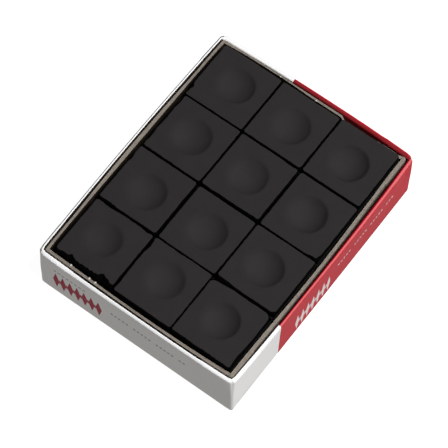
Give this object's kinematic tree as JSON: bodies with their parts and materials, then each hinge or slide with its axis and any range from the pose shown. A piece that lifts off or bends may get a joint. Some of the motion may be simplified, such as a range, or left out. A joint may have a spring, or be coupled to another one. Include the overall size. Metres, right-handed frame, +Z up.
{
  "type": "carton of cue chalk cubes",
  "caption": "Open two-piece carton of labelled billiard cue chalk cubes: a chipboard tray standing in its upturned paper-wrapped lid, each cube with a round dish.",
  "frame": {"origin": "centre of the lid's outer face, which is the face the carton stands on", "axes": "+Z up out of the open carton, +Y along its longer side towards the back, +X across it to the right"},
  "size_m": [0.074, 0.0952, 0.0242],
  "materials": {
    "chalk": "matte pressed powder, very dark warm grey",
    "label_paper": "thin dark printed paper, satin",
    "chipboard": "uncoated grey chipboard with fibrous cut edges",
    "kraft_stay": "thin uncoated gummed paper tape",
    "printed_wrap": "glossy coated white paper with a red printed field"
  },
  "bodies": {
    "lid": {"lid_board": "chipboard", "lid_wrap": "printed_wrap", "lid_corner_stay_front_left": "kraft_stay", "lid_corner_stay_front_right": "kraft_stay", "lid_corner_stay_back_left": "kraft_stay", "lid_corner_stay_back_right": "kraft_stay"},
    "tray": {"tray_board": "chipboard", "tray_corner_stay_front_left": "kraft_stay", "tray_corner_stay_front_right": "kraft_stay", "tray_corner_stay_back_left": "kraft_stay", "tray_corner_stay_back_right": "kraft_stay"},
    "cube_row1_left": {"chalk_row1_left": "chalk", "label_row1_left": "label_paper"},
    "cube_row1_middle": {"chalk_row1_middle": "chalk", "label_row1_middle": "label_paper"},
    "cube_row1_right": {"chalk_row1_right": "chalk", "label_row1_right": "label_paper"},
    "cube_row2_left": {"chalk_row2_left": "chalk", "label_row2_left": "label_paper"},
    "cube_row2_middle": {"chalk_row2_middle": "chalk", "label_row2_middle": "label_paper"},
    "cube_row2_right": {"chalk_row2_right": "chalk", "label_row2_right": "label_paper"},
    "cube_row3_left": {"chalk_row3_left": "chalk", "label_row3_left": "label_paper"},
    "cube_row3_middle": {"chalk_row3_middle": "chalk", "label_row3_middle": "label_paper"},
    "cube_row3_right": {"chalk_row3_right": "chalk", "label_row3_right": "label_paper"},
    "cube_row4_left": {"chalk_row4_left": "chalk", "label_row4_left": "label_paper"},
    "cube_row4_middle": {"chalk_row4_middle": "chalk", "label_row4_middle": "label_paper"},
    "cube_row4_right": {"chalk_row4_right": "chalk", "label_row4_right": "label_paper"}
  },
  "joints": [
    {"name": "tray_lift", "type": "slide", "parent": "lid", "child": "tray", "axis": [0, 0, 1], "range_m": [0, 0.03]},
    {"name": "cube_row1_left_lift", "type": "slide", "parent": "tray", "child": "cube_row1_left", "axis": [0, 0, 1], "range_m": [0, 0.03]},
    {"name": "cube_row1_middle_lift", "type": "slide", "parent": "tray", "child": "cube_row1_middle", "axis": [0, 0, 1], "range_m": [0, 0.03]},
    {"name": "cube_row1_right_lift", "type": "slide", "parent": "tray", "child": "cube_row1_right", "axis": [0, 0, 1], "range_m": [0, 0.03]},
    {"name": "cube_row2_left_lift", "type": "slide", "parent": "tray", "child": "cube_row2_left", "axis": [0, 0, 1], "range_m": [0, 0.03]},
    {"name": "cube_row2_middle_lift", "type": "slide", "parent": "tray", "child": "cube_row2_middle", "axis": [0, 0, 1], "range_m": [0, 0.03]},
    {"name": "cube_row2_right_lift", "type": "slide", "parent": "tray", "child": "cube_row2_right", "axis": [0, 0, 1], "range_m": [0, 0.03]},
    {"name": "cube_row3_left_lift", "type": "slide", "parent": "tray", "child": "cube_row3_left", "axis": [0, 0, 1], "range_m": [0, 0.03]},
    {"name": "cube_row3_middle_lift", "type": "slide", "parent": "tray", "child": "cube_row3_middle", "axis": [0, 0, 1], "range_m": [0, 0.03]},
    {"name": "cube_row3_right_lift", "type": "slide", "parent": "tray", "child": "cube_row3_right", "axis": [0, 0, 1], "range_m": [0, 0.03]},
    {"name": "cube_row4_left_lift", "type": "slide", "parent": "tray", "child": "cube_row4_left", "axis": [0, 0, 1], "range_m": [0, 0.03]},
    {"name": "cube_row4_middle_lift", "type": "slide", "parent": "tray", "child": "cube_row4_middle", "axis": [0, 0, 1], "range_m": [0, 0.03]},
    {"name": "cube_row4_right_lift", "type": "slide", "parent": "tray", "child": "cube_row4_right", "axis": [0, 0, 1], "range_m": [0, 0.03]}
  ]
}
